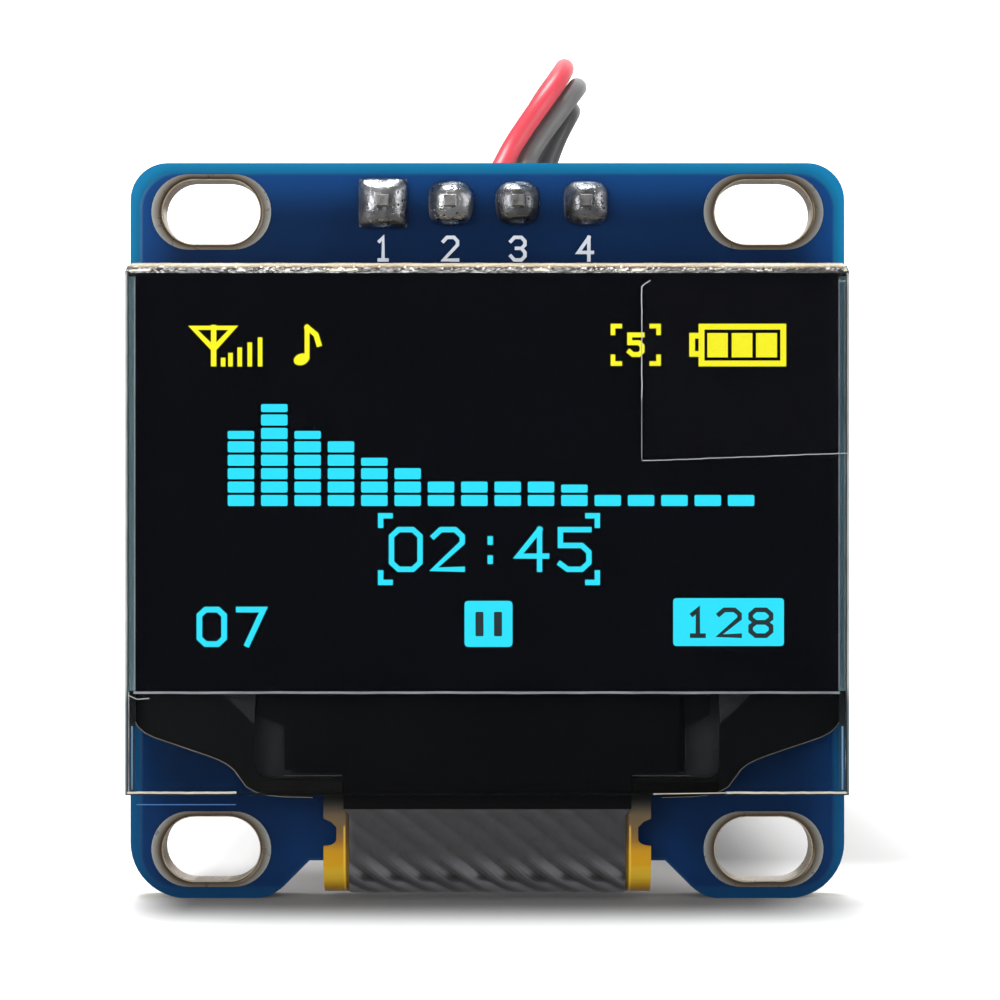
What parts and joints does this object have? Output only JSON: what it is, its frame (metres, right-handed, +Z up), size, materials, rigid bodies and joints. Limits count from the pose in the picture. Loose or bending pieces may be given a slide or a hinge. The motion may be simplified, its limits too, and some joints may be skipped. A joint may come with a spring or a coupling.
{
  "type": "small graphic display module",
  "caption": "Small blue circuit board with a bonded glass display, a folded flexible circuit, slotted corner mounts and plugged leads on its rear header.",
  "frame": {"origin": "centre of the four mounting slots, on the board's front face", "axes": "+X to the right as the display is read, +Z up, and the display faces -Y"},
  "size_m": [0.027, 0.0422, 0.0377],
  "materials": {
    "board": "glass-fibre laminate under glossy solder mask",
    "plating": "tinned copper",
    "solder": "bright solder",
    "tin": "satin tin",
    "pin_metal": "thin gold over brass",
    "contact_metal": "tinned brass strip",
    "black_plastic": "satin",
    "foam": "matte closed-cell foam tape",
    "glass": "clear, cut edges",
    "seal": "matte",
    "emitter": "dark matrix that lights yellow at the top, cyan below",
    "polariser": "smooth dark film",
    "film": "clear protective film",
    "silicon": "polished",
    "resin": "glossy black resin",
    "adhesive": "conductive adhesive film",
    "flex_film": "amber polyimide",
    "black_tape": "matte",
    "cover_layer": "matte dark ink over fine tracks",
    "capacitor_ceramic": "fired ceramic",
    "resistor_ceramic": "glazed black",
    "red_insulation": "satin",
    "black_insulation": "satin",
    "grey_insulation": "satin"
  },
  "bodies": {
    "root": {"pcb": "board", "slot_plating_tl": "plating", "slot_plating_tr": "plating", "slot_plating_bl": "plating", "slot_plating_br": "plating", "header_pads": "plating", "header_spacer": "black_plastic", "header_pin_1": "pin_metal", "header_pin_2": "pin_metal", "header_pin_3": "pin_metal", "header_pin_4": "pin_metal", "solder_joint_1": "solder", "solder_joint_2": "solder", "solder_joint_3": "solder", "solder_joint_4": "solder", "foam_tape": "foam", "cap_glass": "glass", "edge_seal": "seal", "emitter_layer": "emitter", "front_glass": "glass", "polariser": "polariser", "protective_film": "film", "film_tab": "film", "driver_chip": "silicon", "chip_coating": "resin", "bond_strips": "adhesive", "flex_circuit": "flex_film", "flex_tape": "black_tape", "flex_cover": "cover_layer", "flex_solder": "solder", "regulator_body": "black_plastic", "regulator_leads": "tin", "diode_body": "black_plastic", "diode_leads": "tin", "capacitors": "capacitor_ceramic", "resistors": "resistor_ceramic", "chip_terminals": "tin", "plug_1": "black_plastic", "plug_2": "black_plastic", "plug_3": "black_plastic", "plug_4": "black_plastic", "plug_contact_1": "contact_metal", "plug_contact_2": "contact_metal", "plug_contact_3": "contact_metal", "plug_contact_4": "contact_metal", "lead_1": "red_insulation", "lead_2": "black_insulation", "lead_3": "grey_insulation", "lead_4": "black_insulation", "far_plug_1": "black_plastic", "far_plug_2": "black_plastic", "far_plug_3": "black_plastic", "far_plug_4": "black_plastic", "far_contact_1": "contact_metal", "far_contact_2": "contact_metal", "far_contact_3": "contact_metal", "far_contact_4": "contact_metal"}
  },
  "joints": []
}
